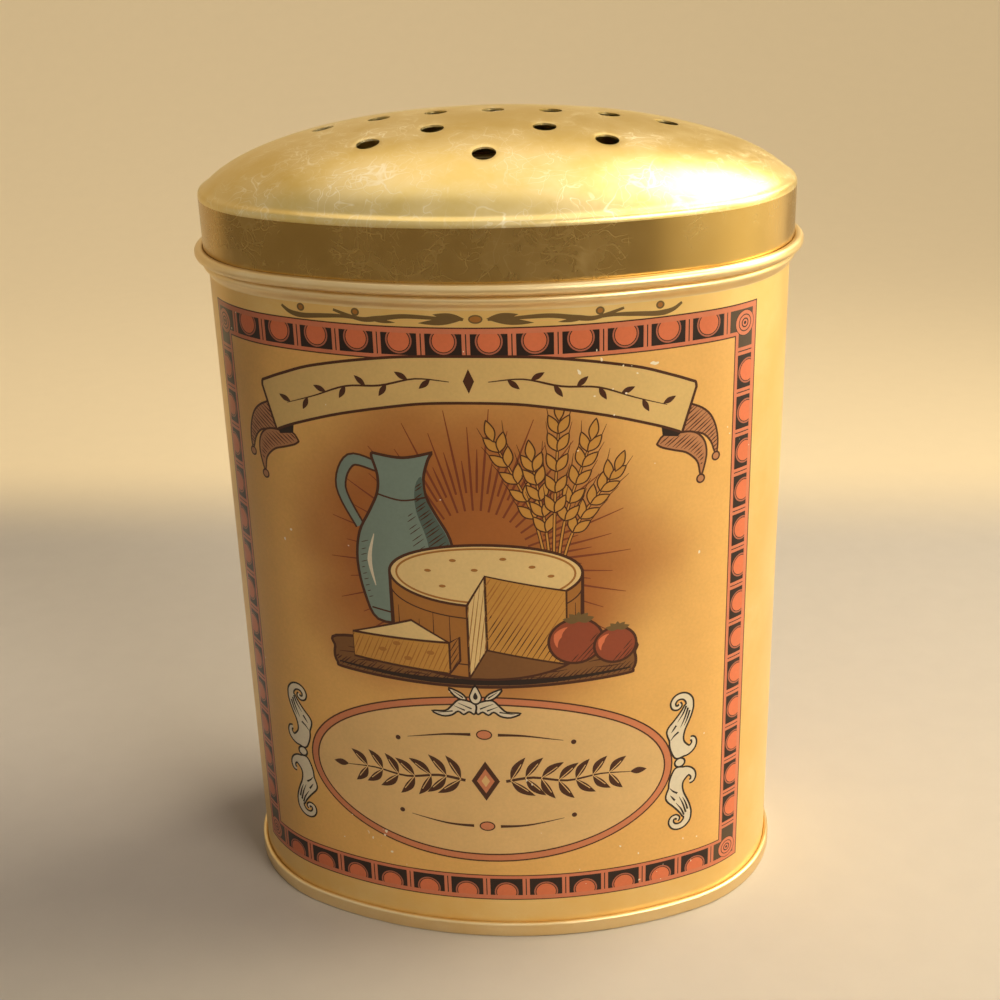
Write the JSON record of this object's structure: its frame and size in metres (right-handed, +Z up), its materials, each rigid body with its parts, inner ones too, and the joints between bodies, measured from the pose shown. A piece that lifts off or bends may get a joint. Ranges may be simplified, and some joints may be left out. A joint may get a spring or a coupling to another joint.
{
  "type": "grated cheese shaker tin",
  "caption": "Oval upright tinplate box with a double-seamed bottom and a pull-off domed lid pierced with sprinkle holes, for keeping and shaking out grated cheese.",
  "frame": {"origin": "middle of the oval rim that the tin stands on, at table height", "axes": "+Z up the tin towards the lid, -Y out of the pictured front, +X to the front's right"},
  "size_m": [0.0876, 0.0606, 0.12],
  "materials": {
    "printed_tinplate": "tinplate printed golden yellow with brown and terracotta ornament under a gloss varnish",
    "lacquered_tinplate": "bright tinplate under a clear gold lacquer, with fine handling scratches"
  },
  "bodies": {
    "tin_body": {"body_sleeve": "printed_tinplate", "bottom_end": "lacquered_tinplate"},
    "lid": {"shaker_lid": "lacquered_tinplate"}
  },
  "joints": [
    {"name": "lid_lift", "type": "slide", "parent": "tin_body", "child": "lid", "axis": [0, 0, 1], "range_m": [0, 0.05]}
  ]
}
